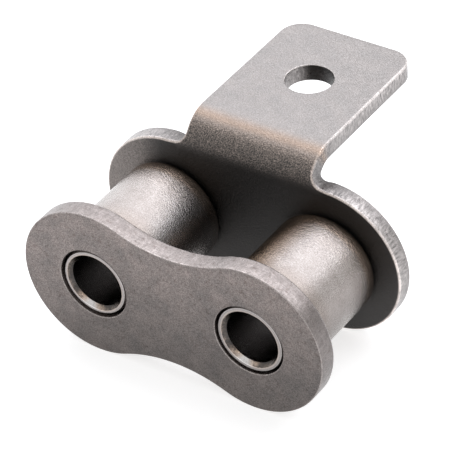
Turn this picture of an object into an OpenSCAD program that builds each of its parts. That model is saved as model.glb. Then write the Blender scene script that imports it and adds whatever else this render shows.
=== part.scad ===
// Chain attachment link: two side plates joined by two bushings, with a roller turning on each
// bushing. One plate rises between its round ends and bends outward into a tab with a round hole.
// Millimetres. X runs along the chain, Y from the plain plate to the attachment plate, Z up.
// The origin is on the axis of the left pin bore, midway between the plates.

/* [Chain] */
// Distance between the axes of the two pin bores
pitch = 19.05; // [17:0.05:22]
// Clear width between the two plates
inner_w = 12.7; // [8:0.1:20]

/* [Plates] */
// Height of a plate across its round ends
plate_h = 17.4; // [15:0.1:18.5]
// Height of a plate across its waist
waist_h = 13.6; // [12:0.1:14.5]
// Thickness of the plain plate
plain_t = 2.4; // [1.6:0.1:3.2]
// Thickness of the attachment plate
attach_t = 2; // [1.6:0.1:3.2]
// Rounding of the stamped outer edges
edge_r = 0.35; // [0.1:0.05:0.5]
// Rounding of the rims of the bushing holes
seat_edge = 0.1; // [0.05:0.05:0.3]

/* [Tab] */
// Width of the tab along the chain
tab_w = 15.5; // [10:0.1:17]
// Height of the top of the tab above the bore axes
tab_rise = 11.9; // [11:0.1:16]
// Distance from the middle of the chain to the end of the tab
tab_reach = 28.1; // [24:0.1:36]
// Inner radius of the bend
bend_r = 2; // [1:0.1:3]
// Radius of the two outer corners of the tab, seen from above
corner_r = 2.65; // [1:0.05:5]
// Radius of the notches where the tab leaves the round ends
root_r = 1.1; // [0.5:0.1:2]
// Distance from the middle of the chain to the axis of the tab hole
hole_reach = 19.05; // [16:0.05:22]
// Diameter of the tab hole
hole_d = 5.2; // [3:0.1:8]
// Rounding of the rims of the tab hole
hole_edge = 0.15; // [0.05:0.05:0.4]

/* [Bushings] */
// Outer diameter of a bushing
bush_d = 8.2; // [7.4:0.1:9]
// Diameter of a pin bore
bore_d = 6; // [4:0.05:6.4]
// How far a bushing end lies below the outer face of its plate
bush_recess = 0.2; // [0:0.05:0.6]
// How much the radius of a pin bore opens at its mouth
lead_r = 0.25; // [0.1:0.05:0.35]
// Length of the tapered mouth of a pin bore
lead_len = 1; // [0.4:0.1:2]
// How much the outer radius of a bushing drops at its ends
nose_r = 0.2; // [0.05:0.05:0.3]
// Length of the tapered outer end of a bushing
nose_len = 0.7; // [0.3:0.1:1.2]
// Radial overlap of a bushing pressed into its plate hole
press_lap = 0.01; // [0:0.005:0.03]

/* [Rollers] */
// Outer diameter of a roller
roller_d = 11.9; // [10.4:0.1:13]
// Radial clearance between a roller and its bushing
run_gap = 0.08; // [0.02:0.01:0.1]
// Clearance between a roller end and a plate
side_gap = 0.2; // [0.05:0.05:0.5]
// Rounding of the outer edges of a roller
roller_edge = 0.6; // [0.2:0.1:0.8]
// Chamfer inside the ends of a roller
roller_chamfer = 0.2; // [0.05:0.05:0.3]

/* [Hidden] */

// Facets of the large rounds and of the small rounded edges
fn_round = 48;
fn_edge = 16;
// How far a cutting tool runs past the face that it cuts
over = 1;
// Angle through which the bend and the rounded corners turn
quarter = 90;
// Overlap that makes neighbouring curves cross instead of only touching
blend_lap = 0.02;

// Places along the chain
mid_x = pitch / 2;
half_w = inner_w / 2;
// Round ends and the hollow waist curve between them
lobe_r = plate_h / 2;
near_r = lobe_r - blend_lap;
waist_half = waist_h / 2;
waist_r = (mid_x * mid_x + waist_half * waist_half - near_r * near_r) / (2 * (near_r - waist_half));
waist_z = waist_half + waist_r;
// Outer faces
plain_y = -half_w - plain_t;
outer_y = half_w + attach_t;
// Axis of the bend and underside of the tab
tab_under = tab_rise - attach_t;
bend_y = outer_y + bend_r;
bend_z = tab_under - bend_r;
// Where the round corners of the tab start
corner_y = tab_reach - corner_r;
corner_x = tab_w / 2 - corner_r;
// Centre of the left notch, measured from the left bore
root_x = mid_x - tab_w / 2 - root_r + blend_lap;
root_z = sqrt(pow(near_r + root_r, 2) - root_x * root_x);
root_deg = atan2(root_x, root_z);
// Bushings
bush_r = bush_d / 2;
bore_r = bore_d / 2;
seat_r = bush_r - press_lap;
bush_low = plain_y + bush_recess;
bush_high = outer_y - bush_recess;
// Rollers
roller_r = roller_d / 2;
roller_bore = bush_r + run_gap;
roller_half = half_w - side_gap;

// Half section of a flat disk with rounded rim, drawn from its axis outward
module rim_section(reach, t, e) {
  square([reach - e, t]);
  translate([0, e])
    square([reach, t - 2 * e]);
  translate([reach - e, e])
    circle(r = e, $fn = fn_edge);
  translate([reach - e, t - e])
    circle(r = e, $fn = fn_edge);
}

// Section of a flat strip with rounded edges, centred on its width
module strip_section(w, t, e) {
  translate([-w / 2 + e, 0])
    square([w - 2 * e, t]);
  translate([-w / 2, e])
    square([w, t - 2 * e]);
  for (side = [-1, 1])
    for (level = [e, t - e])
      translate([side * (w / 2 - e), level])
        circle(r = e, $fn = fn_edge);
}

// Cutting tool through a sheet of thickness t that leaves a wall of radius r with rounded rims
module rim_cutter(r, t, e) {
  rotate_extrude($fn = fn_round)
    difference() {
      translate([0, -over])
        square([r + e, t + 2 * over]);
      translate([r, e])
        square([2 * e, t - 2 * e]);
      translate([r + e, e])
        circle(r = e, $fn = fn_edge);
      translate([r + e, t - e])
        circle(r = e, $fn = fn_edge);
    }
}

// Stands a sheet drawn flat on X and Y upright, so that its thickness runs along Y
module stand_up() {
  rotate([90, 0, 0])
    mirror([0, 0, 1])
      children();
}

// The two round ends of a plate, lying flat
module round_ends(t) {
  for (x = [0, pitch])
    translate([x, 0, 0])
      rotate_extrude($fn = fn_round)
        rim_section(lobe_r, t, edge_r);
}

// One half of the body between the round ends, hollowed by the waist curve, lying flat
module waist_half_body(t, side) {
  difference() {
    linear_extrude(height = t)
      polygon([[0, 0], [mid_x, side * waist_z], [pitch, 0]]);
    translate([mid_x, side * waist_z, 0])
      rim_cutter(waist_r, t, edge_r);
  }
}

// The two bushing holes of a plate, lying flat
module seat_holes(t) {
  for (x = [0, pitch])
    translate([x, 0, 0])
      rim_cutter(seat_r, t, seat_edge);
}

module plain_link_plate() {
  color([0.52, 0.50, 0.48])
    translate([0, plain_y, 0])
      stand_up()
        difference() {
          union() {
            round_ends(plain_t);
            waist_half_body(plain_t, 1);
            waist_half_body(plain_t, -1);
          }
          seat_holes(plain_t);
        }
}

// The strip between the round ends, from the bore axes up to the bend
module upright_strip() {
  translate([mid_x, half_w, 0])
    linear_extrude(height = bend_z)
      strip_section(tab_w, attach_t, edge_r);
}

// A quarter turn of a sheet section about the bend axis
module bend_quarter() {
  translate([mid_x, bend_y, bend_z])
    rotate([90, 0, -90])
      rotate_extrude(angle = quarter, $fn = fn_round)
        translate([bend_r, 0])
          rotate(-90)
            children();
}

// The flat tab outward of the bend, with its two round corners
module flat_tab() {
  translate([mid_x, corner_y, tab_under])
    rotate([90, 0, 0])
      linear_extrude(height = corner_y - bend_y)
        strip_section(tab_w, attach_t, edge_r);
  translate([mid_x - corner_x, corner_y, tab_under])
    rotate([90, 0, 90])
      linear_extrude(height = 2 * corner_x)
        rim_section(corner_r, attach_t, edge_r);
  translate([mid_x + corner_x, corner_y, tab_under])
    rotate_extrude(angle = quarter, $fn = fn_round)
      rim_section(corner_r, attach_t, edge_r);
  translate([mid_x - corner_x, corner_y, tab_under])
    rotate([0, 0, 90])
      rotate_extrude(angle = quarter, $fn = fn_round)
        rim_section(corner_r, attach_t, edge_r);
}

// Sheet of full width that stands up to the bend and follows it
module bent_sheet() {
  translate([0, half_w, 0])
    cube([pitch, attach_t, bend_z]);
  bend_quarter()
    translate([-mid_x, 0])
      square([pitch, attach_t]);
}

// Filling between the left round end and the strip, hollowed by the round notch
module root_gusset() {
  difference() {
    intersection() {
      bent_sheet();
      translate([0, tab_reach, 0])
        rotate([90, 0, 0])
          linear_extrude(height = tab_reach)
            polygon([
              [root_x, root_z],
              [root_x + root_r + edge_r, root_z],
              [root_x + root_r + 2 * edge_r, waist_half],
              [waist_half * sin(root_deg), waist_half * cos(root_deg)]
            ]);
    }
    translate([root_x, tab_reach, root_z])
      rotate([90, 0, 0])
        cylinder(r = root_r, h = tab_reach, $fn = fn_round);
  }
}

module attachment_plate() {
  color([0.55, 0.53, 0.51])
    difference() {
      union() {
        translate([0, half_w, 0])
          stand_up() {
            round_ends(attach_t);
            waist_half_body(attach_t, -1);
          }
        upright_strip();
        bend_quarter()
          strip_section(tab_w, attach_t, edge_r);
        flat_tab();
        root_gusset();
        translate([pitch, 0, 0])
          mirror([1, 0, 0])
            root_gusset();
      }
      translate([0, half_w, 0])
        stand_up()
          seat_holes(attach_t);
      translate([mid_x, hole_reach, tab_under])
        rim_cutter(hole_d / 2, attach_t, hole_edge);
    }
}

// One bushing on the Y axis
module bushing() {
  color([0.62, 0.60, 0.58])
    rotate([-90, 0, 0])
      rotate_extrude($fn = fn_round)
        polygon([
          [bore_r + lead_r, bush_low],
          [bush_r - nose_r, bush_low],
          [bush_r, bush_low + nose_len],
          [bush_r, bush_high - nose_len],
          [bush_r - nose_r, bush_high],
          [bore_r + lead_r, bush_high],
          [bore_r, bush_high - lead_len],
          [bore_r, bush_low + lead_len]
        ]);
}

module bushing_left() {
  bushing();
}

module bushing_right() {
  translate([pitch, 0, 0])
    bushing();
}

// One roller on the Y axis
module roller() {
  color([0.72, 0.70, 0.68])
    rotate([-90, 0, 0])
      rotate_extrude($fn = fn_round)
        difference() {
          translate([0, -roller_half])
            rim_section(roller_r, 2 * roller_half, roller_edge);
          polygon([
            [0, -roller_half - over],
            [roller_bore + roller_chamfer + over, -roller_half - over],
            [roller_bore, -roller_half + roller_chamfer],
            [roller_bore, roller_half - roller_chamfer],
            [roller_bore + roller_chamfer + over, roller_half + over],
            [0, roller_half + over]
          ]);
        }
}

module roller_left() {
  roller();
}

module roller_right() {
  translate([pitch, 0, 0])
    roller();
}

plain_link_plate();
attachment_plate();
bushing_left();
bushing_right();
roller_left();
roller_right();
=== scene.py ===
# %% [markdown]
# # A chain attachment link
# This lesson dresses one inner link of a roller chain. Two stamped plates are held together by two
# hardened bushings, a hardened roller turns freely on each bushing, and one plate carries a tab that
# is bent outward and drilled, so that a slat or a pusher can be screwed to the chain.
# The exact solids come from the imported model. They carry the sizes and the motion, and this file
# gives each piece a finer surface and its steel.

import math

import bpy
import numpy as np
from mathutils import Matrix, Vector
from mathutils.geometry import delaunay_2d_cdt


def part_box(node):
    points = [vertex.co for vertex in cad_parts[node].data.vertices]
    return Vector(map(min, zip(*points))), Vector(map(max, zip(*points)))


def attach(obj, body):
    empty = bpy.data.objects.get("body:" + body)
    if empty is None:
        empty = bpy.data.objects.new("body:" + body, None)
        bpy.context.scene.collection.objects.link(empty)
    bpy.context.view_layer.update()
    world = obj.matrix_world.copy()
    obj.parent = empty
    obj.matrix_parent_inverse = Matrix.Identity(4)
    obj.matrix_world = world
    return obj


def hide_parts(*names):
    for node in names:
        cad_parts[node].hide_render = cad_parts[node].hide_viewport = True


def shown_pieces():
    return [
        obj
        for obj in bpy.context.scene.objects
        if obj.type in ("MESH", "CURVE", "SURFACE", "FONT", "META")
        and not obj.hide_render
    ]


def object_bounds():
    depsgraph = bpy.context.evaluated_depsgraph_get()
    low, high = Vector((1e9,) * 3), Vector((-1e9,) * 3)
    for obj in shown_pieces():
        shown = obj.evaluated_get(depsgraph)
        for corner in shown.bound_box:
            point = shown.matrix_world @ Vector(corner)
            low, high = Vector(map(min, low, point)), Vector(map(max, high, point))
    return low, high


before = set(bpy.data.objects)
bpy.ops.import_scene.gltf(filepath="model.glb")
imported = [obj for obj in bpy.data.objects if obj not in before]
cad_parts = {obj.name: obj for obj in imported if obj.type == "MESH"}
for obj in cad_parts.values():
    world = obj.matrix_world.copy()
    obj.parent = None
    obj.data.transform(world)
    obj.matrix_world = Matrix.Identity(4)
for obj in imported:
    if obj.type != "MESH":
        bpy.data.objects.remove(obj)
cad_low, cad_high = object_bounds()
print("solids:", sorted(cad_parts))

# %% [markdown]
# ## Sizes
# Blender works in metres here, while a maker thinks of a small part in millimetres. One factor turns
# one into the other. What the boxes of the solids tell, such as the pitch and the height of a plate, is
# read from them. What they can't tell, such as a radius or the width of the tab, is written here.

# %% Sizes of the link
MM = 0.001
near_low, near_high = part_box("plain_link_plate")
_, far_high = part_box("attachment_plate")
_, roller_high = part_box("roller_left")
bush_low, bush_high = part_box("bushing_left")
lobe_r = near_high.z
pitch = near_high.x - lobe_r
half_w = -near_high.y
plain_t = near_high.y - near_low.y
attach_t = 2.0 * MM
tab_rise = far_high.z
tab_reach = far_high.y
tab_w = 15.5 * MM
waist_half = 6.8 * MM
roll_r = 0.35 * MM  # the softly rolled edge of a stamped rim
burr_r = 0.14 * MM  # the crisp edge, where the shear broke through
bend_r = 2.0 * MM  # inside the bend
root_r = 1.1 * MM  # the two notches beside the tab
corner_r = 2.65 * MM  # the two corners of the tab
hole_reach = 19.05 * MM  # from the middle of the chain to the middle of the tab hole
hole_r = 2.6 * MM
seat_r = 4.09 * MM  # the holes that the bushings are pressed into
print("pitch mm", round(pitch / MM, 3), "plate height mm", round(2 * lobe_r / MM, 3))
print("inner width mm", round(2 * half_w / MM, 3), "tab reach mm", round(tab_reach / MM, 3))

# %% [markdown]
# ## Outline of a stamped plate
# A link plate is punched from strip. Its outline is two round ends joined by hollow curves, and each
# curve runs into the next without a corner. Drawing it as a chain of arcs keeps that smoothness, and
# gives every point its own direction out of the metal, which the rounded rim needs later.

# %% Arcs and lines as points with outward directions
STEP = 0.16 * MM  # from point to point along an arc


def arc(centre, radius, start, end, hollow=False):
    """Points along an arc from angle start towards end, each with the direction out of the metal."""
    count = max(6, int(abs(end - start) * radius / STEP))
    points = []
    for i in range(count):
        a = start + (end - start) * i / count
        along = np.array([math.cos(a), math.sin(a)])
        points.append((np.array(centre) + radius * along, -along if hollow else along))
    return points


def line(start, end, outward):
    """Points along a straight edge of the outline, at twice the spacing of an arc."""
    a, b = np.array(start), np.array(end)
    count = max(2, int(np.linalg.norm(b - a) / (2 * STEP)))
    return [(a + (b - a) * i / count, np.array(outward, float)) for i in range(count)]


mid = pitch / 2
waist_r = (mid**2 + waist_half**2 - lobe_r**2) / (2 * (lobe_r - waist_half))
waist_z = waist_half + waist_r
meet = math.atan2(waist_z, mid)
print("waist curve radius mm", round(waist_r / MM, 2))

# %% Outline of the plain plate
PI = math.pi


def lower_waist():
    """The hollow curve below the middle of a plate."""
    return arc((mid, -waist_z), waist_r, PI - meet, meet, hollow=True)


def plain_outline():
    """Round end, hollow, round end, hollow."""
    points = arc((0, 0), lobe_r, meet, 2 * PI - meet) + lower_waist()
    points += arc((pitch, 0), lobe_r, PI + meet, 3 * PI - meet)
    points += arc((mid, waist_z), waist_r, -meet, meet - PI, hollow=True)
    return points


def round_hole(centre, radius):
    """A hole, walked the other way round, so that its outward directions point into the air."""
    return arc(centre, radius, 2 * PI, 0, hollow=True)


print("points round the plain plate:", len(plain_outline()))

# %% [markdown]
# ## The flat blank of the plate with the tab
# The press cuts this plate flat and bends the tab afterwards, so the lesson does the same. The
# length of the tab in the flat blank comes from the middle layer of the sheet, which keeps its
# length while the outside of the bend stretches and the inside is squeezed.

# %% Outline of the flat blank
bend_z = tab_rise - attach_t - bend_r
bend_y = half_w + attach_t + bend_r
middle_r = bend_r + attach_t / 2
bend_len = middle_r * PI / 2
blank_top = bend_z + bend_len + (tab_reach - bend_y)
root_x = mid - tab_w / 2 - root_r
root_z = math.sqrt((lobe_r + root_r) ** 2 - root_x**2)
side_l, side_r = mid - tab_w / 2, mid + tab_w / 2
tilt = math.atan2(root_z, root_x)


def blank_outline():
    """The same plate with the flat tab, its notches and its corners on top."""
    low = blank_top - corner_r
    points = arc((0, 0), lobe_r, tilt, 2 * PI - meet) + lower_waist()
    points += arc((pitch, 0), lobe_r, meet - PI, PI - tilt)
    points += arc((pitch - root_x, root_z), root_r, -tilt, -PI, hollow=True)
    points += line((side_r, root_z), (side_r, low), (1, 0))
    points += arc((side_r - corner_r, low), corner_r, 0, PI / 2)
    points += line((side_r - corner_r, blank_top), (side_l + corner_r, blank_top), (0, 1))
    points += arc((side_l + corner_r, low), corner_r, PI / 2, PI)
    points += line((side_l, low), (side_l, root_z), (-1, 0))
    points += arc((root_x, root_z), root_r, 0, tilt - PI, hollow=True)
    return points


print("blank height mm", round((blank_top + lobe_r) / MM, 2), "points", len(blank_outline()))

# %% [markdown]
# ## From outline to sheet
# A punch pulls the sheet down before it shears it, so one edge of the rim is softly rolled and the
# other is crisp. Both rolled edges look into the link. The rim is a stack of rings that steps round a
# quarter circle at each face, and the faces are filled with even triangles, so that a bend has points
# to work on wherever it falls. Every point also carries what the finish needs to know later: how far
# it is on the rim, how deep in the sheet, how far along the outline, and how much shade is painted on
# it.

# %% Rings of the rim
ROUND_STEPS = 7  # rings round each quarter circle


def rim_levels(thickness, low_round, high_round):
    """(inset, depth, rim) of each ring; rim is 0 on a flat face and 1 on the wall."""
    levels = []
    for i in range(ROUND_STEPS + 1):
        a = PI / 2 * i / ROUND_STEPS
        levels.append((low_round * (1 - math.sin(a)), low_round * (1 - math.cos(a)), i / ROUND_STEPS))
    for i in reversed(range(ROUND_STEPS + 1)):
        a = PI / 2 * i / ROUND_STEPS
        deep = thickness - high_round * (1 - math.cos(a))
        levels.append((high_round * (1 - math.sin(a)), deep, i / ROUND_STEPS))
    return levels


print("rings in a rim:", len(rim_levels(plain_t, burr_r, roll_r)))

# %% [markdown]
# ## Filling a face
# The face between the outline and the holes has no points of its own yet. Rows of points are laid over
# it, those in the holes or too near an edge are dropped, and a Delaunay triangulation joins the rest
# to the rings. It keeps the triangles even, where a plain fill would stretch them from hole to rim.

# %% Points inside a face


def inside(points, loop):
    """For each point, whether it lies inside the closed loop."""
    hit = np.zeros(len(points), bool)
    for a, b in zip(loop, np.roll(loop, -1, axis=0)):
        if a[1] == b[1]:
            continue
        crosses = (points[:, 1] < a[1]) != (points[:, 1] < b[1])
        at = a[0] + (points[:, 1] - a[1]) / (b[1] - a[1]) * (b[0] - a[0])
        hit ^= crosses & (points[:, 0] < at)
    return hit


def inner_points(loops, rows, spacing):
    """Even rows of points inside the face, kept half a space off its edges."""
    low, high = loops[0].min(0)[0], loops[0].max(0)[0]
    grid = [
        (x + (k % 2) * spacing / 2, z) for k, z in enumerate(rows) for x in np.arange(low, high, spacing)
    ]
    grid = np.array(grid)
    keep = inside(grid, loops[0])
    for loop in loops[1:]:
        keep &= ~inside(grid, loop)
    grid = grid[keep]
    edge = np.concatenate(loops)
    near = [np.min(np.sum((edge - g) ** 2, axis=1)) for g in grid]
    return grid[np.array(near) > (0.5 * spacing) ** 2]


def fill(loops, rows, spacing):
    """Triangles that fill the face between the loops, and the inner points that they use."""
    extra = inner_points(loops, rows, spacing)
    edges, start = [], 0
    for loop in loops:
        n = len(loop)
        edges += [(start + i, start + (i + 1) % n) for i in range(n)]
        start += n
    flat = np.concatenate(loops + [extra]) / MM
    tolerance = 1e-6
    found = delaunay_2d_cdt([Vector(p) for p in flat], edges, [], 0, tolerance, True)
    back = [o[0] for o in found[3]]
    triangles = np.array([[back[i] for i in f] for f in found[2]])
    middles = flat[triangles].mean(axis=1)
    keep = inside(middles, loops[0] / MM)
    for loop in loops[1:]:
        keep &= ~inside(middles, loop / MM)
    return triangles[keep].tolist(), extra


square = np.array([(0, 0), (1, 0), (1, 1), (0, 1)]) * 4 * MM
print("triangles in a test square:", len(fill([square], [1 * MM, 2 * MM, 3 * MM], 1 * MM)[0]))

# %% Build a sheet from its outlines
FACE_GRID = 0.5 * MM  # from point to point on a face


def unshaded(x, z):
    """No painted shade."""
    return 0.0


class Edge:
    """A closed outline, the rounding at each face, and the shade painted on its wall."""

    def __init__(self, outline, low_round, high_round, wall_shade=unshaded):
        self.place = np.array([p for p, _ in outline])
        self.out = np.array([n for _, n in outline])
        self.low_round, self.high_round, self.wall_shade = low_round, high_round, wall_shade
        steps = np.linalg.norm(np.roll(self.place, -1, axis=0) - self.place, axis=1)
        self.along = np.concatenate([[0], np.cumsum(steps)[:-1]]) / MM


def sheet_mesh(name, edges, y, thickness, rows, face_shade):
    """A sheet that stands up: x along the chain, z up, its thickness from y on.

    The painted shade of a face ends on the first third of the rim, and that of the wall takes over
    there.
    """
    verts, faces, rings, facts = [], [], [], []
    for edge in edges:
        stack = []
        for inset, depth, rim in rim_levels(thickness, edge.low_round, edge.high_round):
            ring = edge.place - edge.out * inset
            stack.append(range(len(verts), len(verts) + len(ring)))
            verts += [(p[0], y + depth, p[1]) for p in ring]
            face = face_shade[0 if depth < thickness / 2 else 1]
            hold = max(0.0, 1 - 3 * rim)
            wall = min(1.0, max(0.0, 2.5 * rim - 0.6))
            for p, along in zip(ring, edge.along):
                # The shade painted at this point, from its face and from its wall.
                painted_shade = face(p[0], p[1]) * hold + edge.wall_shade(p[0], p[1]) * wall
                facts.append((rim, depth / thickness, along, painted_shade))
        for a, b in zip(stack, stack[1:]):
            n = len(a)
            faces += [(a[i], b[i], b[(i + 1) % n], a[(i + 1) % n]) for i in range(n)]
        rings.append((stack[0], stack[-1]))
    for side, depth in ((0, 0.0), (1, thickness)):
        inset = [e.high_round if side else e.low_round for e in edges]
        loops = [e.place - e.out * r for e, r in zip(edges, inset)]
        triangles, extra = fill(loops, rows, FACE_GRID)
        number = [i for r in rings for i in r[side]]
        number += range(len(verts), len(verts) + len(extra))
        verts += [(p[0], y + depth, p[1]) for p in extra]
        facts += [(0.0, side, 0.0, face_shade[side](p[0], p[1])) for p in extra]
        for t in triangles:
            corners = [number[i] for i in t]
            faces.append(corners if side == 0 else corners[::-1])
    mesh = bpy.data.meshes.new(name)
    mesh.from_pydata(verts, [], faces)
    for column, fact in enumerate(("rim", "deep", "along", "painted_shade")):
        values = mesh.attributes.new(fact, "FLOAT", "POINT")
        values.data.foreach_set("value", [f[column] for f in facts])
    mesh.validate()
    mesh.shade_smooth()
    return mesh


def even_rows(low, high):
    """Heights of the rows that make even triangles, which stand 0.87 of a side apart."""
    return list(np.arange(low, high, FACE_GRID * 0.87))


print("rows in a plate:", len(even_rows(-lobe_r, lobe_r)))

# %% [markdown]
# ## Painted shade on the sheets
# Shade is painted into the colour of the steel: dark on the faces inside the link and in the holes,
# light on the open face, and hardly any on the rims. Each rule below says how much shade is painted
# at a place on the sheet, from 0 for none to 1. The mesh carries that value, and the material turns
# it dark.

# %% Painted shade on the plain plate


def shade_inside(x, z):
    """Painted shade on a face that looks into the link: dark in the middle, lighter at the left end."""
    places, films = (-7, -3.7, -2.4, -1.2, 22, 28), (0.5, 0.64, 0.86, 1.0, 1.0, 0.96)
    return float(np.interp(x / MM, places, films))


# Painted shade on the open face: how much, how much more for each millimetre down, and the most.
FACE_SHADE, SHADE_DOWNWARD, SHADE_MOST = 0.17, 0.042, 0.47


def shade_open_face(x, z):
    """Light painted shade on the open face, darker towards its lower edge and towards its right end."""
    sideways = float(np.interp(x / MM, (-6, 4, 10, 20), (-0.08, 0.06, 0.05, 0.13)))
    return min(SHADE_MOST, max(0.0, FACE_SHADE - SHADE_DOWNWARD * z / MM + sideways))


def shade_rim_ends(x, z):
    """Painted shade on the rim of the plain plate: a little at its left end, and more at its right end.
    """
    return float(np.interp(x / MM, (-4.0, 4.0, 24.6, 26.2), (0.15, 0.0, 0.0, 0.35)))


def shade_seat_wall(x, z):
    """Painted shade on the wall of a seat, a recess where shade falls."""
    return 0.35


seat_edge = 0.13 * MM
seats = [Edge(round_hole((x, 0), seat_r), seat_edge, seat_edge, shade_seat_wall) for x in (0, pitch)]
plain_mesh = sheet_mesh(
    "plain_link_plate_dressed",
    [Edge(plain_outline(), burr_r, roll_r, shade_rim_ends)] + seats,
    near_low.y,
    plain_t,
    even_rows(-lobe_r, lobe_r),
    (shade_open_face, shade_inside),
)
print("plain plate faces:", len(plain_mesh.polygons))

# %% Rows of the flat blank, finer in the bend
BEND_GRID = 0.2 * MM
blank_rows = even_rows(-lobe_r, bend_z)
blank_rows += list(np.arange(bend_z, bend_z + bend_len, BEND_GRID))
blank_rows += even_rows(bend_z + bend_len, blank_top)
print("rows in the blank:", len(blank_rows))

# %% Painted shade on the flat blank
hole_z = bend_z + bend_len + (hole_reach - bend_y)


def shade_over_bend(x, z):
    """Painted shade: dark inside the link, fading out over the bend up to its middle."""
    if abs(x - mid) > tab_w / 2 + root_r:
        return shade_inside(x, z)
    turn = math.degrees(max(0.0, z - bend_z) / middle_r)
    degrees, films = (0, 8, 18, 40, 50, 58, 64), (1, 0.95, 0.77, 0.7, 0.48, 0.14, 0)
    return float(np.interp(turn, degrees, films)) * (shade_inside(x, z) if turn == 0 else 1.0)


def shade_in_notches(x, z):
    """Painted shade on the rim: darkest in the two notches beside the tab, and gone 3.5 mm from them."""
    away = min(math.dist((x, z), (centre_x, root_z)) for centre_x in (root_x, pitch - root_x))
    return 0.55 * max(0.0, 1 - max(0.0, away - root_r) / (3.5 * MM))


def shade_in_hole(x, z):
    """Painted shade in the screw hole, dark on one side and light on the other."""
    places, films = (-1, -0.75, -0.5, 0.6, 0.85, 1), (0.1, 0.5, 1, 1, 0.85, 0.4)
    return float(np.interp((x - mid) / hole_r, places, films))


hole_edge = 0.15 * MM
screw_hole = Edge(round_hole((mid, hole_z), hole_r), hole_edge, hole_edge, shade_in_hole)
blank_mesh = sheet_mesh(
    "flat_blank",
    [Edge(blank_outline(), roll_r * 0.8, burr_r, shade_in_notches)] + seats + [screw_hole],
    half_w,
    attach_t,
    blank_rows,
    (shade_over_bend, unshaded),
)
print("blank faces:", len(blank_mesh.polygons))

# %% [markdown]
# ## The golden line of the bend
# Steel that was stretched and then rubbed on the outside of a bend keeps a thin brown oxide, which
# shows as a golden line along the bend where the light grazes it. The mesh carries how warm the steel
# is at each point. It is a bell curve round one angle of the bend, and a weaker brown before it.

# %% Warm metal along the bend
GOLD_AT, GOLD_SPREAD = 68, 11  # degrees into the bend
warm = blank_mesh.attributes.new("warm", "FLOAT", "POINT")
turns = [math.degrees(max(0.0, v.co.z - bend_z) / middle_r) for v in blank_mesh.vertices]
golden = [math.exp(-(((t - GOLD_AT) / GOLD_SPREAD) ** 2)) for t in turns]
on_rim = [d.value for d in blank_mesh.attributes["rim"].data]
brown = [float(np.interp(t, (0, 20, 55, 70), (0.3, 0.6, 0.6, 0))) for t in turns]
browned = [b * (1 - r) for b, r in zip(brown, on_rim)]
warm.data.foreach_set("value", [max(pair) for pair in zip(golden, browned)])
print("warm points:", sum(max(pair) > 0.5 for pair in zip(golden, browned)))

# %% [markdown]
# ## Bending the tab
# Bending follows a rule: a point above the bend line is wrapped round the axis of the bend, and what
# is past the quarter turn runs on straight. Geometry Nodes state that rule once, with the radius,
# thickness and place as named inputs, so another bend is only another number. The round ends beside
# the tab stay flat in the press, so the turn fades out across the root of the tab.

# %% Helpers for node trees


def add(tree, kind, values=None, **settings):
    """A node with its settings and the values of its inputs, which are links where they are sockets."""
    node = tree.nodes.new(kind)
    for key, value in settings.items():
        setattr(node, key, value)
    for key, value in (values or {}).items():
        socket = node.inputs[key]
        if isinstance(value, bpy.types.NodeSocket):
            tree.links.new(value, socket)
        else:
            socket.default_value = value
    return node


def calc(tree, operation, *values):
    """One step of arithmetic in a geometry or shader tree."""
    return add(tree, "ShaderNodeMath", dict(enumerate(values)), operation=operation).outputs[0]


def new_rule(name, wanted, made):
    """An empty rule with its named inputs and its one output, and what it is given."""
    tree = bpy.data.node_groups.new(name, "GeometryNodeTree")
    for label, kind in wanted:
        tree.interface.new_socket(label, in_out="INPUT", socket_type="NodeSocket" + kind)
    tree.interface.new_socket(made, in_out="OUTPUT", socket_type="NodeSocketGeometry")
    return tree, add(tree, "NodeGroupInput").outputs


def hand_over(tree, geometry, steel):
    """The end of a rule: real faces with their steel."""
    real = add(tree, "GeometryNodeRealizeInstances", {0: geometry}).outputs[0]
    done = add(tree, "GeometryNodeSetMaterial", {"Geometry": real, "Material": steel}).outputs[0]
    add(tree, "NodeGroupOutput", {0: done})


print("helpers:", [f.__name__ for f in (add, calc, new_rule, hand_over)])

# %% The bending rule as a node tree


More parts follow.
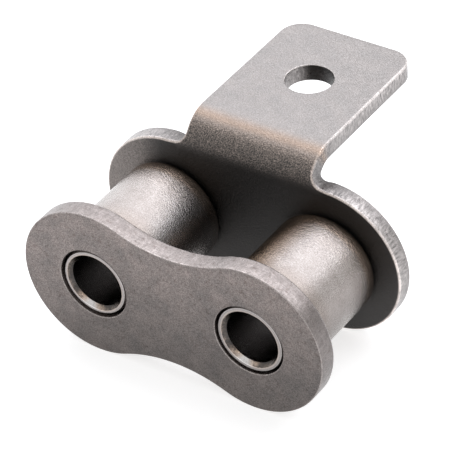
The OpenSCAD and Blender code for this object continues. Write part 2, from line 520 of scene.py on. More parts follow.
def bend_tree():
    """Wraps what lies above the bend line round the bend, and runs the rest on straight."""
    sizes = "Bend Start", "Inner Radius", "Thickness", "Near Face", "Middle", "Flat From", "Bent To"
    wanted = [("Blank", "Geometry"), *((size, "Float") for size in sizes), ("Steel", "Material")]
    tree, given = new_rule("Bend the tab", wanted, "Plate")
    where = add(tree, "GeometryNodeInputPosition").outputs[0]
    x, y, z = add(tree, "ShaderNodeSeparateXYZ", {0: where}).outputs[:3]
    past = calc(tree, "SUBTRACT", z, given["Bend Start"])
    above = calc(tree, "MAXIMUM", past, 0.0)
    below = calc(tree, "MINIMUM", past, 0.0)
    middle = calc(tree, "MULTIPLY_ADD", given["Thickness"], 0.5, given["Inner Radius"])
    aside = calc(tree, "ABSOLUTE", calc(tree, "SUBTRACT", x, given["Middle"]))
    bent = add(
        tree,
        "ShaderNodeMapRange",
        {"Value": aside, "From Min": given["Flat From"], "From Max": given["Bent To"]},
        interpolation_type="SMOOTHSTEP",
    ).outputs[0]
    full = calc(tree, "MINIMUM", calc(tree, "DIVIDE", above, middle), PI / 2)
    turn = calc(tree, "MULTIPLY", full, bent)
    run = calc(tree, "SUBTRACT", above, calc(tree, "MULTIPLY", turn, middle))
    outer = calc(tree, "ADD", given["Inner Radius"], given["Thickness"])
    deep = calc(tree, "SUBTRACT", y, given["Near Face"])
    radius = calc(tree, "SUBTRACT", outer, deep)
    sine, cosine = calc(tree, "SINE", turn), calc(tree, "COSINE", turn)
    axis_y = calc(tree, "ADD", given["Near Face"], outer)
    arc_y = calc(tree, "SUBTRACT", axis_y, calc(tree, "MULTIPLY", radius, cosine))
    new_y = calc(tree, "MULTIPLY_ADD", run, sine, arc_y)
    foot = calc(tree, "ADD", given["Bend Start"], below)
    arc_z = calc(tree, "MULTIPLY_ADD", radius, sine, foot)
    new_z = calc(tree, "MULTIPLY_ADD", run, cosine, arc_z)
    place = add(tree, "ShaderNodeCombineXYZ", {0: x, 1: new_y, 2: new_z}).outputs[0]
    moved = add(tree, "GeometryNodeSetPosition", {"Geometry": given["Blank"], "Position": place})
    hand_over(tree, moved.outputs[0], given["Steel"])
    return tree


def made_by(tree, mesh, name, values):
    """The mesh that the tree makes from the given one, as a plain object at the origin."""
    worker = bpy.data.objects.new(name + "_worker", mesh)
    bpy.context.scene.collection.objects.link(worker)
    modifier = worker.modifiers.new("rule", "NODES")
    modifier.node_group = tree
    sockets = {s.name: s.identifier for s in tree.interface.items_tree if s.in_out == "INPUT"}
    for key, value in values.items():
        modifier[sockets[key]] = value
    bpy.context.view_layer.update()
    made = worker.evaluated_get(bpy.context.evaluated_depsgraph_get())
    result = bpy.data.meshes.new_from_object(made)
    result.name = name
    bpy.data.objects.remove(worker)
    return result


print("bending tree nodes:", len(bend_tree().nodes))

# %% [markdown]
# ## Turned pieces
# Bushings and rollers are round tubes, curled or drawn and then finished on a lathe, so each one is a
# profile turned about an axis. The rule is stated once as a node tree: it rounds the corners of the
# profile, then lays a grid round the axis and takes each ring's radius and place from the profile.
# A round piece is marked on one side only, so the rule also takes three one-sided marks, two of painted
# shade and one of brown. Each has an angle, a width and a strength, which is below zero where a mark
# takes painted shade or brown away.

# %% Parts of the turning rule


def rounded_section(tree, profile, steps):
    """The profile as a curve, each corner rounded by the amount that it carries."""
    rounding = add(tree, "GeometryNodeInputNamedAttribute", {"Name": "rounding"}).outputs["Attribute"]
    curve = add(tree, "GeometryNodeMeshToCurve", {"Mesh": profile}).outputs[0]
    values = {"Curve": curve, "Count": steps, "Radius": rounding, "Limit Radius": True}
    return add(tree, "GeometryNodeFilletCurve", values, mode="POLY").outputs[0]


def taken(tree, source, index, value, data_type="FLOAT"):
    """The value that the source has at one of its points."""
    node = add(
        tree,
        "GeometryNodeSampleIndex",
        {"Geometry": source, "Index": index},
        data_type=data_type,
        domain="POINT",
    )
    tree.links.new(value, next(s for s in node.inputs if s.name == "Value" and s.enabled))
    return node.outputs[0]


def with_stain(tree, mark, angle, at, width, strength):
    """A mark with a stain added, strongest at one angle and gone at its width to either side."""
    aside = calc(tree, "COSINE", calc(tree, "SUBTRACT", angle, at))
    aside = calc(tree, "ARCCOSINE", calc(tree, "MULTIPLY", aside, 0.9999))
    ends = {"Value": aside, "From Min": width, "From Max": 0.0}
    stain = add(tree, "ShaderNodeMapRange", ends, interpolation_type="SMOOTHSTEP").outputs[0]
    return calc(tree, "MULTIPLY_ADD", stain, strength, mark)


def stored(tree, geometry, name, value):
    """The geometry, carrying the value at each point under this name."""
    values = {"Geometry": geometry, "Name": name, "Value": value}
    kind = "GeometryNodeStoreNamedAttribute"
    return add(tree, kind, values, data_type="FLOAT", domain="POINT").outputs[0]


print("parts:", [f.__name__ for f in (rounded_section, taken, with_stain, stored)])

# %% The turning rule as a node tree
# Two one-sided marks of painted shade and one of brown tint.
STAINS = (("painted_shade", "Film"), ("painted_shade", "Shade"), ("warm", "Brown"))  # the mark, and its stain's name


def turn_tree():
    """Turns a profile round an axis along y, and adds the stains to what its points carry."""
    wanted = [("Profile", "Geometry"), ("Segments", "Int"), ("Round Steps", "Int"), ("Axis X", "Float")]
    for _, label in STAINS:
        wanted += [(label + " At", "Float"), (label + " Width", "Float"), (label, "Float")]
    tree, given = new_rule("Turn a profile", wanted + [("Steel", "Material")], "Tube")
    soft = rounded_section(tree, given["Profile"], given["Round Steps"])
    size = add(tree, "GeometryNodeAttributeDomainSize", {0: soft}, component="CURVE")
    count = size.outputs["Point Count"]
    rings = calc(tree, "ADD", count, 1.0)
    around = calc(tree, "ADD", given["Segments"], 1.0)
    grid = add(tree, "GeometryNodeMeshGrid", {"Vertices X": around, "Vertices Y": rings})
    number = add(tree, "GeometryNodeInputIndex").outputs[0]
    column = calc(tree, "FLOOR", calc(tree, "DIVIDE", calc(tree, "ADD", number, 0.5), rings))
    row = calc(tree, "SUBTRACT", number, calc(tree, "MULTIPLY", column, rings))
    wrapped = calc(tree, "MODULO", calc(tree, "ROUND", row), count)
    where = add(tree, "GeometryNodeInputPosition").outputs[0]
    section = taken(tree, soft, wrapped, where, "FLOAT_VECTOR")
    radius, along, _ = add(tree, "ShaderNodeSeparateXYZ", {0: section}).outputs[:3]
    marks = {}
    for fact in ("painted_shade", "warm", "rim", "along"):
        named = add(tree, "GeometryNodeInputNamedAttribute", {"Name": fact}).outputs["Attribute"]
        marks[fact] = taken(tree, soft, wrapped, named)
    part = calc(tree, "DIVIDE", calc(tree, "MODULO", column, given["Segments"]), given["Segments"])
    angle = calc(tree, "MULTIPLY", part, 2 * PI)
    for fact, label in STAINS:
        stain = (given[label + " At"], given[label + " Width"], given[label])
        marks[fact] = with_stain(tree, marks[fact], angle, *stain)
    x = calc(tree, "MULTIPLY_ADD", radius, calc(tree, "SINE", angle), given["Axis X"])
    z = calc(tree, "MULTIPLY", radius, calc(tree, "COSINE", angle))
    place = add(tree, "ShaderNodeCombineXYZ", {0: x, 1: along, 2: z}).outputs[0]
    moved = add(tree, "GeometryNodeSetPosition", {"Geometry": grid.outputs[0], "Position": place})
    tube = moved.outputs[0]
    for fact, value in marks.items():
        tube = stored(tree, tube, fact, value)
    joined = add(tree, "GeometryNodeMergeByDistance", {"Geometry": tube, "Distance": 0.001 * MM})
    hand_over(tree, joined.outputs[0], given["Steel"])
    return tree


turn_rule, bend_rule = turn_tree(), bend_tree()
print("turning tree nodes:", len(turn_rule.nodes))

# %% A profile as a closed line


def profile_mesh(name, corners):
    """Corners are (radius, place along the axis, rounding, painted shade, warm, rim), round the section.
    """
    mesh = bpy.data.meshes.new(name)
    n = len(corners)
    walk = [math.dist(a[:2], b[:2]) / MM for a, b in zip(corners, corners[1:])]
    corners = [c + (w,) for c, w in zip(corners, [0.0, *np.cumsum(walk)])]
    mesh.from_pydata([(c[0], c[1], 0) for c in corners], [(i, (i + 1) % n) for i in range(n)], [])
    for column, fact in enumerate(("rounding", "painted_shade", "warm", "rim", "along")):
        values = mesh.attributes.new(fact, "FLOAT", "POINT")
        values.data.foreach_set("value", [c[2 + column] for c in corners])
    return mesh


def both_ends(half, low, high):
    """A half section that runs from inside to outside at the low end, and its mirror at the high end."""
    middle = (low + high) / 2
    return half + [(r, 2 * middle - y, *rest) for r, y, *rest in reversed(half)]


print("corners of a mirrored section:", len(both_ends([(1, 0), (2, 0)], 0, 1)))

# %% Sections of the bushings
bush_r = bush_high.x
bore_r = 3.0 * MM
low_y, high_y = bush_low.y, bush_high.y
MOUTH_R, MOUTH_LEN = 0.38 * MM, 0.42 * MM  # how far and how deep the cone at the mouth of a bore goes
RING_R = 0.46 * MM  # from the bore to where the flat end ring starts
NOSE_LEN, STRAIGHT = 0.7 * MM, 1.2 * MM  # the eased outside, and where the section is straight


def bush_profile(name, lead):
    """The section of a bushing whose outside is eased by the lead where it enters a seat."""
    half = [
        # The fourth value is painted shade: a little in the bore, dark on the cone at its mouth, and
        # some on the eased outside where it enters the seat. The rim value of 0.5 on the cone puts the
        # band of painted highlight there, under that shade.
        (bore_r, low_y + STRAIGHT, 0, 0.05, 0, 0),
        (bore_r, low_y + 0.5 * MM, 0, 0.1, 0, 0),
        (bore_r, low_y + MOUTH_LEN, 0.05 * MM, 0.99, 0.9, 0.5),
        (bore_r + MOUTH_R, low_y + 0.02 * MM, 0.04 * MM, 0.9, 0.7, 0.5),
        (bore_r + RING_R, low_y, 0.03 * MM, 0.0, 0.2, 1),
        (bush_r - lead, low_y, 0.14 * MM, 0.0, 0, 1),
        (bush_r - 0.04 * MM, low_y + NOSE_LEN, 0.2 * MM, 0.3, 0, 0),
        (bush_r, low_y + STRAIGHT, 0, 0.3, 0, 0),
    ]
    return profile_mesh(name, both_ends(half, low_y, high_y))


bush_profiles = {"left": bush_profile("left_bushing_profile", 0.38 * MM)}
bush_profiles["right"] = bush_profile("right_bushing_profile", 0.29 * MM)
print("bushing wall mm", round((bush_r - bore_r) / MM, 2))

# %% Section of a roller
RUN_GAP = 0.08 * MM  # between a roller and its bushing
roller_r, roller_bore = roller_high.x, bush_r + RUN_GAP
roller_y = roller_high.y
# The fourth value is painted shade: full in the bore and at the inner corners of the ends, and on the
# outside fading from the near end.
roller_section = [
    (roller_bore, roller_y - 0.6 * MM, 0, 1.0, 0, 0),
    (roller_bore, -roller_y + 0.6 * MM, 0, 1.0, 0, 0),
    (roller_bore, -roller_y, 0.2 * MM, 0.8, 0, 0),
    (roller_r, -roller_y, 0.6 * MM, 0.5, 0.5, 0),
    (roller_r, -roller_y + 1.0 * MM, 0, 0.36, 0.3, 0),
    (roller_r, -roller_y + 4.0 * MM, 0, 0.07, 0.1, 0),
    (roller_r, roller_y - 4.4 * MM, 0, 0.0, 0.1, 0),
    (roller_r, roller_y - 2.0 * MM, 0, 0.0, 0.2, 0),
    (roller_r, roller_y - 1.4 * MM, 0, 0.0, 0.6, 0),
    (roller_r, roller_y, 0.6 * MM, 0.0, 0.7, 0),
    (roller_bore, roller_y, 0.2 * MM, 0.8, 0, 0),
]
roller_profile = profile_mesh("roller_profile", roller_section)
print("roller wall mm", round((roller_r - roller_bore) / MM, 2))

# %% [markdown]
# ## Steel
# All pieces are bare steel. The plates are tumbled after stamping, which gives them a dull fine grain
# and rubs their rims brighter than their faces. The rollers and bushings are hardened and lighter.
# Shade is painted dark into the colour inside the link, in the bores and in the hole, and a highlight
# is painted along the rounded edges. Grain, rim wear with its painted highlight, and painted shade are
# shared, so each is a node group that a material takes with its own values. Polishing on a rim shows as
# less relief and less roughness.

# %% Helpers for shader trees


def mix_colour(tree, factor, a, b, kind="MIX"):
    """A colour that goes from a to b as the factor rises."""
    node = tree.nodes.new("ShaderNodeMix")
    node.data_type, node.blend_type, node.clamp_factor = "RGBA", kind, True
    for index, value in ((0, factor), (6, a), (7, b)):
        if isinstance(value, bpy.types.NodeSocket):
            tree.links.new(value, node.inputs[index])
        else:
            node.inputs[index].default_value = value
    return node.outputs[2]


def spread(tree, value, low, high, to_low=0.0, to_high=1.0):
    """A value between low and high stretched to another span."""
    ends = {"From Min": low, "From Max": high, "To Min": to_low, "To Max": to_high}
    return add(tree, "ShaderNodeMapRange", {"Value": value, **ends}, clamp=True).outputs[0]


def noise(tree, place, per_mm, detail=3.0, roughness=0.6):
    """Noise with so many lumps in each millimetre."""
    scale = calc(tree, "MULTIPLY", per_mm, 1000.0)
    values = {"Vector": place, "Scale": scale, "Detail": detail, "Roughness": roughness}
    return add(tree, "ShaderNodeTexNoise", values).outputs[0]


def new_group(name, inputs, outputs):
    """An empty shader group with its named sockets, and what it is given."""
    tree = bpy.data.node_groups.new(name, "ShaderNodeTree")
    for label, start in inputs:
        socket = tree.interface.new_socket(label, in_out="INPUT", socket_type="NodeSocketFloat")
        socket.default_value = start
    for label, kind in outputs:
        tree.interface.new_socket(label, in_out="OUTPUT", socket_type=kind)
    return tree, add(tree, "NodeGroupInput").outputs


def fact_of(tree, name):
    """A value that the mesh carries at each of its points."""
    return add(tree, "ShaderNodeAttribute", attribute_name=name).outputs["Fac"]


print("helpers:", [f.__name__ for f in (mix_colour, spread, noise, fact_of)])

# %% Grain group
VALUE = "NodeSocketFloat"


def grain_group():
    """Fine tumbling grain, broad clouds, dark specks, and a relief of grain and small pits."""
    tree, given = new_group(
        "Steel grain",
        [("Grain per mm", 6.0), ("Clouds per mm", 0.5)],
        [("Grain", VALUE), ("Clouds", VALUE), ("Specks", VALUE), ("Relief", VALUE)],
    )
    place = add(tree, "ShaderNodeTexCoord").outputs["Object"]
    fine = spread(tree, noise(tree, place, given[0], 3.0, 0.7), 0.34, 0.66)
    broad = spread(tree, noise(tree, place, given[1], 4.0, 0.55), 0.3, 0.7)
    lumps = noise(tree, place, calc(tree, "MULTIPLY", given[0], 0.35), 2.0, 0.5)
    specks = spread(tree, lumps, 0.58, 0.72)
    pit_scale = calc(tree, "MULTIPLY", given[0], 450.0)
    pits = add(tree, "ShaderNodeTexVoronoi", {"Vector": place, "Scale": pit_scale}).outputs["Distance"]
    relief = calc(tree, "MULTIPLY_ADD", spread(tree, pits, 0.0, 0.7), 0.5, fine)
    add(tree, "NodeGroupOutput", {0: fine, 1: broad, 2: specks, 3: relief})
    return tree


grain_rule = grain_group()
print("grain group nodes:", len(grain_rule.nodes))

# %% Worn rim group


def rim_group():
    """Where a rim is rubbed bright, the fine streaks that the shearing left across it, and a band of
    painted highlight on the rounding at each face.
    """
    tree, given = new_group(
        "Worn rim",
        [("Streaks per mm", 4.0), ("Lengthwise", 0.5), ("Uneven", 0.3), ("Torn Side", 0.5)],
        [("Worn", VALUE), ("Streaks", VALUE), ("Edge", VALUE)],
    )
    rim, deep, along = (fact_of(tree, n) for n in ("rim", "deep", "along"))
    place = add(tree, "ShaderNodeTexCoord").outputs["Object"]
    patches = noise(tree, place, 1.6, 3.0)
    less = calc(tree, "MULTIPLY", given["Uneven"], spread(tree, patches, 0.4, 0.65))
    kept = calc(tree, "SUBTRACT", 1.0, less)
    worn = calc(tree, "MULTIPLY", spread(tree, rim, 0.1, 0.75), kept)
    # A band of painted highlight on the rounding between each face and the wall.
    rise, fall = spread(tree, rim, 0.1, 0.4), spread(tree, rim, 0.75, 1.0, 1.0, 0.0)
    edge = calc(tree, "MULTIPLY", calc(tree, "MULTIPLY", rise, fall), kept)
    lines = []
    for run, depth in ((0.001, 0.0006), (0.0002, 0.003)):
        x, y = calc(tree, "MULTIPLY", along, run), calc(tree, "MULTIPLY", deep, depth)
        stretched = add(tree, "ShaderNodeCombineXYZ", {0: x, 1: y}).outputs[0]
        lines.append(noise(tree, stretched, given["Streaks per mm"], 4.0, 0.65))
    apart = calc(tree, "SUBTRACT", lines[1], lines[0])
    both = calc(tree, "MULTIPLY_ADD", apart, given["Lengthwise"], lines[0])
    fine = spread(tree, both, 0.38, 0.62)
    streaks = calc(tree, "MULTIPLY", fine, spread(tree, deep, 0.1, 0.9, 1.0, given["Torn Side"]))
    add(tree, "NodeGroupOutput", {0: worn, 1: streaks, 2: edge})
    return tree


rim_rule = rim_group()
print("rim group nodes:", len(rim_rule.nodes))

# %% Oil film group


def painted_shade_group():
    """How much shade is painted: what the mesh carries, broken up where it is neither none nor full."""
    tree, given = new_group(
        "Painted shade", [("Thickness", 1.0), ("Uneven", 0.25), ("Blots per mm", 2.0)], [("Film", VALUE)]
    )
    place = add(tree, "ShaderNodeTexCoord").outputs["Object"]
    blots = calc(tree, "SUBTRACT", noise(tree, place, given["Blots per mm"], 4.0), 0.5)
    painted_shade = fact_of(tree, "painted_shade")
    left_bare = calc(tree, "SUBTRACT", 1.0, painted_shade)
    border = calc(tree, "MULTIPLY", calc(tree, "MULTIPLY", painted_shade, left_bare), 4.0)
    broken = calc(tree, "MULTIPLY", calc(tree, "MULTIPLY", blots, given["Uneven"]), border)
    broken = calc(tree, "MULTIPLY", broken, spread(tree, fact_of(tree, "warm"), 0.3, 0.6, 0.25, 1.0))
    full = calc(tree, "MULTIPLY", calc(tree, "ADD", painted_shade, broken), given["Thickness"])
    add(tree, "NodeGroupOutput", {0: add(tree, "ShaderNodeClamp", {0: full}).outputs[0]})
    return tree


painted_shade_rule = painted_shade_group()
print("film group nodes:", len(painted_shade_rule.nodes))

# %% Steel materials


def placed(tree, rule, **values):
    """A group in a material, with the material's own values."""
    node = add(tree, "ShaderNodeGroup", None, node_tree=rule)
    for label, value in values.items():
        node.inputs[label.replace("_", " ")].default_value = value
    return node.outputs


def tone(value, warmth=0.07):
    """A grey that leans to brown by its warmth."""
    return (value * (1 + warmth), value, value * (1 - warmth * 0.35), 1.0)


# The dark colour that painted shade goes to.
PAINTED_SHADE_TONE = tone(0.05, 0.04)
WARM = (1.16, 0.96, 0.81, 1.0)  # what warm metal does to a colour
EDGE_POLISH, WALL_POLISH = 0.12, 0.14  # how much smoother a bright edge and a rubbed wall are
GRAIN_WEAR, RELIEF_WEAR = 0.6, 0.8  # how much of the grain's tone and of its relief a rim loses


def steel(
    name, face, rim, bright, speck, rough, grain_mm, clouds_mm, relief_mm, blots, lines,
    pits=0.0, warm=WARM, rubbed=0.0, shade_tone=PAINTED_SHADE_TONE,
):
    """Grainy steel: clouds on its faces, streaks on worn rims, painted highlights on its edges, painted
    shade.

    Face and rim are each two colours to go between, and rough is a roughness for each. Blots are how
    many there are in a millimetre of the painted shade, and how much they break up its borders. Lines
    are the streaks in a millimetre of a rim, the share of them that runs along it, and how patchy its
    wear is. Pits darken the specks, and rubbed, from 0 to 1, is how far the rims are polished. The
    colour for the edges is a painted highlight, and the last tone is the colour of the painted shade.
    """
    material = bpy.data.materials.new(name)
    material.use_nodes = True
    tree = material.node_tree
    shader = tree.nodes["Principled BSDF"]
    shader.inputs["Metallic"].default_value = 1.0
    grain = placed(tree, grain_rule, Grain_per_mm=grain_mm, Clouds_per_mm=clouds_mm)
    worn = placed(tree, rim_rule, Streaks_per_mm=lines[0], Lengthwise=lines[1], Uneven=lines[2])
    painted_shade = placed(tree, painted_shade_rule, Blots_per_mm=blots[0], Uneven=blots[1])
    colour = mix_colour(tree, grain["Clouds"], *face)
    colour = mix_colour(tree, worn["Worn"], colour, mix_colour(tree, worn["Streaks"], *rim))
    # Painted highlight along the rounded edges.
    colour = mix_colour(tree, worn["Edge"], colour, bright)
    colour = mix_colour(tree, fact_of(tree, "warm"), colour, warm, "MULTIPLY")
    if pits:
        pitted = (pits, pits * 0.95, pits * 0.93, 1)
        colour = mix_colour(tree, grain["Specks"], colour, pitted, "MULTIPLY")
    less = calc(tree, "MULTIPLY_ADD", worn["Worn"], -GRAIN_WEAR, 1.0)
    faint = calc(tree, "MULTIPLY", grain["Grain"], less)
    colour = mix_colour(tree, faint, colour, (speck, speck * 0.98, speck * 0.96, 1), "MULTIPLY")
    # Painted shade: the colour goes dark as far as the mesh says.
    colour = mix_colour(tree, painted_shade[0], colour, shade_tone)
    tree.links.new(colour, shader.inputs["Base Color"])
    even = calc(tree, "MULTIPLY_ADD", grain["Grain"], 0.5, calc(tree, "MULTIPLY", grain["Clouds"], 0.5))
    dull = spread(tree, even, 0.0, 1.0, rough[0], rough[1])
    smooth = calc(tree, "MULTIPLY_ADD", worn["Edge"], -EDGE_POLISH, dull)
    smooth = calc(tree, "MULTIPLY_ADD", worn["Worn"], -WALL_POLISH * rubbed, smooth)
    tree.links.new(smooth, shader.inputs["Roughness"])
    left_over = calc(tree, "MULTIPLY_ADD", worn["Worn"], -RELIEF_WEAR * rubbed, 1.0)
    height = calc(tree, "MULTIPLY", grain["Relief"], left_over)
    bump = add(tree, "ShaderNodeBump", {"Height": height, "Distance": relief_mm * MM})
    tree.links.new(bump.outputs[0], shader.inputs["Normal"])
    return material


print("warm metal takes this much of red, green and blue:", WARM[:3])

# %% The four steels
# In each steel the edge colour is a painted highlight; the bushing's lights the mouths of its bores.
plate_steel = steel(
    "tumbled_plate_steel",
    face=(tone(0.235, 0.11), tone(0.31, 0.16)),
    rim=(tone(0.2, 0.12), tone(0.37, 0.12)),
    bright=tone(0.46, 0.1),
    speck=0.4,
    rough=(0.48, 0.36),
    grain_mm=7.0,
    clouds_mm=0.5,
    relief_mm=0.025,
    blots=(2.0, 0.3),
    lines=(4.0, 0.5, 0.45),
    pits=0.75,
    rubbed=1.0,
)
tab_steel = steel(
    "tumbled_tab_steel",
    face=(tone(0.325, 0.05), tone(0.355, 0.07)),
    rim=(tone(0.13), tone(0.56)),
    bright=tone(0.75),
    speck=0.62,
    rough=(0.42, 0.32),
    grain_mm=7.5,
    clouds_mm=0.6,
    relief_mm=0.022,
    blots=(7.5, 3.3),
    lines=(4.0, 0.15, 0.5),
    rubbed=0.6,
)
bush_steel = steel(
    "bright_bushing_steel",
    face=(tone(0.22, 0.03), tone(0.28, 0.03)),
    rim=(tone(0.05), tone(0.56)),
    bright=tone(0.75, 0.03),
    speck=0.8,
    rough=(0.26, 0.16),
    grain_mm=6.0,
    clouds_mm=0.8,
    relief_mm=0.006,
    blots=(3.0, 1.5),
    lines=(9.0, 0.0, 0.2),
    warm=(1.1, 0.82, 0.62, 1.0),
)
roller_steel = steel(
    "peened_roller_steel",
    face=(tone(0.34, 0.07), tone(0.4, 0.05)),
    rim=(tone(0.34), tone(0.4)),
    bright=tone(0.4),
    speck=0.75,
    rough=(0.25, 0.16),
    grain_mm=6.0,
    clouds_mm=0.7,
    relief_mm=0.013,
    shade_tone=tone(0.05, 0.3),
    blots=(4.0, 1.2),
    lines=(4.0, 0.5, 0.3),
    warm=(1.22, 0.93, 0.68, 1.0),
)
print("steels:", [m.name for m in bpy.data.materials if m.name.endswith("steel")])

# %% [markdown]
# ## The pieces
# Each rule now makes its pieces. A piece stands for its solid, rides on that solid's body, and carries
# its steel.

# %% Hang a piece on its body


def piece(name, mesh, material, node, body):
    """A mesh as an object of its own, in place of a solid and on that solid's body."""
    if not mesh.materials:
        mesh.materials.append(material)
    mesh.shade_smooth()
    obj = bpy.data.objects.new(name, mesh)
    bpy.context.scene.collection.objects.link(obj)
    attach(obj, body)
    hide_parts(node)


piece("plain_plate", plain_mesh, plate_steel, "plain_link_plate", "link")
print("plain plate points:", len(plain_mesh.vertices))

# %% Bend the blank and hang it
bent = made_by(
    bend_rule,
    blank_mesh,
    "bent_plate",
    {
        "Bend Start": bend_z,
        "Inner Radius": bend_r,
        "Thickness": attach_t,
        "Near Face": half_w,
        "Middle": mid,
        "Flat From": tab_w / 2 + 1.9 * root_r,
        "Bent To": tab_w / 2 + 0.2 * root_r,
        "Steel": tab_steel,
    },
)
piece("tab_plate", bent, tab_steel, "attachment_plate", "link")
print("tab plate points:", len(bent.vertices))

# %% [markdown]
# ## Stains and painted light on the round pieces
# A tube turned from a profile is the same all round, and a used one is not. The right roller has oil
# dried brown at its upper left, painted shade at its right and a narrow band of painted shade near its
# top, and the left one is less brown at its right. The mouths of both bores get a painted highlight at
# the bottom, where their painted shade and their brown are taken away. The angles are in radians, from
# the top of the tube towards the right.

# %% Stains as an angle, a reach and a strength
stains = {
    "left": {"Brown": (1.75, 1.3, -0.5)},
    # Painted shade on the right side and near the top of the right roller; its brown is a stain.
    "right": {"Film": (1.7, 0.8, 0.38), "Shade": (6.15, 0.35, 0.15), "Brown": (5.68, 0.74, 1.0)},
    # Painted highlight at the bottom of each bore's mouth: painted shade and brown taken away there.
    "bushing": {"Film": (3.45, 0.68, -0.75), "Brown": (3.42, 0.42, -0.9)},
}
NO_STAIN = (0.0, 1.0, 0.0)


def stained(name):
    """The stains of a piece as values for the inputs of the turning rule."""
    values = {}
    for _, label in STAINS:
        at, width, strength = stains[name].get(label, NO_STAIN)
        values |= {label + " At": at, label + " Width": width, label: strength}
    return values


print("stained pieces:", list(stains))

# %% Turn the bushings and rollers
SEGMENTS = 192

for side, x in (("left", 0.0), ("right", pitch)):
    tube = made_by(
        turn_rule,
        bush_profiles[side],
        side + "_bushing_tube",
        {"Segments": SEGMENTS, "Round Steps": 5, "Axis X": x, "Steel": bush_steel} | stained("bushing"),
    )
    piece(side + "_bushing", tube, bush_steel, "bushing_" + side, "link")
    tube = made_by(
        turn_rule,
        roller_profile,
        side + "_roller_tube",
        {"Segments": SEGMENTS, "Round Steps": 8, "Axis X": x, "Steel": roller_steel} | stained(side),
    )
    piece(side + "_chain_roller", tube, roller_steel, "roller_" + side, side + "_roller")
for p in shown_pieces():
    print(p.name, len(p.data.polygons), "faces")

# %% [markdown]
# ## Floor and surroundings
# The link stands on its lower edges on a white table. The table keeps a soft shadow. For rays that
# come from the camera, or from the steel, both table and surroundings are lifted to white, as paper
# does in a studio. Other rays meet a dimmer world, which leaves the light to the lamps.

# %% Which rays see white


def seeing_rays(tree):
    """1 for a ray from the camera, a reflection or a passage, 0 for a ray that only lights."""
    rays = add(tree, "ShaderNodeLightPath").outputs
    bounced = calc(tree, "MAXIMUM", rays["Is Glossy Ray"], rays["Is Transmission Ray"])
    return calc(tree, "MAXIMUM", rays["Is Camera Ray"], bounced)


print("rays that see white: camera, glossy and transmission")

# %% Floor
TABLE_GLOW, TABLE_GREY = 0.68, 0.8
reach = 2.0
floor_z = cad_low.z
corners = [(-reach, -reach), (reach, -reach), (reach, reach), (-reach, reach)]
floor_mesh = bpy.data.meshes.new("table_top")
floor_mesh.from_pydata([(x, y, floor_z) for x, y in corners], [], [(0, 1, 2, 3)])
floor = bpy.data.objects.new("table_top", floor_mesh)
bpy.context.scene.collection.objects.link(floor)
paper = bpy.data.materials.new("white_table")
paper.use_nodes = True
tree = paper.node_tree
shader = tree.nodes["Principled BSDF"]
shader.inputs["Base Color"].default_value = (TABLE_GREY, TABLE_GREY, TABLE_GREY, 1)
shader.inputs["Roughness"].default_value = 0.9
shader.inputs["Specular IOR Level"].default_value = 0.0
shader.inputs["Emission Color"].default_value = (1, 1, 1, 1)
glow = calc(tree, "MULTIPLY", seeing_rays(tree), TABLE_GLOW)
tree.links.new(glow, shader.inputs["Emission Strength"])
floor_mesh.materials.append(paper)
print("table top at mm", round(floor_z / MM, 2))

# %% World
LIGHTING, WHITE = 0.45, 1.0
world = bpy.data.worlds.new("studio")
bpy.context.scene.world = world
world.use_nodes = True
tree = world.node_tree
sky = tree.nodes["Background"]
sky.inputs["Color"].default_value = (1, 1, 1, 1)
tree.links.new(spread(tree, seeing_rays(tree), 0.0, 1.0, LIGHTING, WHITE), sky.inputs["Strength"])
print("world as light:", LIGHTING, "and to the eye:", WHITE)

# %% [markdown]
# ## Lamps
# One large soft box hangs behind and above the link. Its long edge ends just where the highlight of
# each roller ends, since bare steel is a mirror of what surrounds it. A smaller, dimmer one at the left
# lights the left ends of the plates. A lamp is given by how bright it looks, so its size can change
# without changing that.

# %% Soft boxes


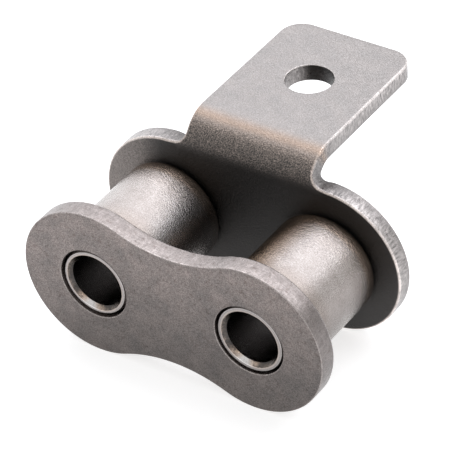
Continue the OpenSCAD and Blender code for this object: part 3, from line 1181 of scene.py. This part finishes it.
def soft_box(name, place, aim, width, height, glow):
    """A flat lamp that faces its aim and looks this bright, whatever its size."""
    lamp = bpy.data.lights.new(name, "AREA")
    lamp.shape, lamp.size, lamp.size_y = "RECTANGLE", width, height
    lamp.energy = glow * PI * width * height
    lamp.color = (0.97, 0.985, 1.05)
    obj = bpy.data.objects.new(name, lamp)
    bpy.context.scene.collection.objects.link(obj)
    obj.location = place
    obj.rotation_mode = "QUATERNION"
    obj.rotation_quaternion = (Vector(aim) - Vector(place)).to_track_quat("-Z", "Y")


centre = Vector((mid, 0.005, 0))
under_box = centre + Vector((0.096, 0.029, 0))
overhead = under_box + Vector((-0.075, 0.25, 0.4325))
soft_box("overhead_behind", overhead, under_box, 1.1, 0.475, 1.8)
left_wall = centre + Vector((-0.42, 0.3, 0.08))
soft_box("left_wall", left_wall, centre, 0.35, 0.3, 1.0)
print("lamps in watts:", {l.name: round(l.energy, 2) for l in bpy.data.lights})

# %% [markdown]
# ## Camera
# The angles, the distance and the lens come from solving the view of the link, so that its known round
# ends, holes and corners fall on the right places of the picture. The focal length was
# solved in pixels, and becomes millimetres through the width of the sensor.

# %% Camera
AZIMUTH, ELEVATION, ROLL = 35.79, 36.98, -4.297
FOCAL_PIXELS, PICTURE = 3167.1, 450
STAND_MM = (162.05, -209.61, 200.40)
a, e, r = (math.radians(v) for v in (AZIMUTH, ELEVATION, ROLL))
back = Vector((math.sin(a) * math.cos(e), -math.cos(a) * math.cos(e), math.sin(e)))
level = Vector((math.cos(a), math.sin(a), 0))
up = back.cross(level)
right_way = level * math.cos(r) + up * math.sin(r)
up_way = up * math.cos(r) - level * math.sin(r)
lens = bpy.data.cameras.new("view")
lens.sensor_width = 36.0
lens.lens = FOCAL_PIXELS * lens.sensor_width / PICTURE
lens.clip_start, lens.clip_end = 0.01, 10.0
camera = bpy.data.objects.new("view", lens)
bpy.context.scene.collection.objects.link(camera)
turned = Matrix((right_way, up_way, back)).transposed().to_4x4()
camera.matrix_world = Matrix.Translation(Vector(STAND_MM) * MM) @ turned
bpy.context.scene.camera = camera
bpy.context.scene.view_settings.view_transform = "Standard"
print("lens mm", round(lens.lens, 1))

# %% Sizes and the last line
print("solids mm", [round(v / MM, 2) for v in (*cad_low, *cad_high)])
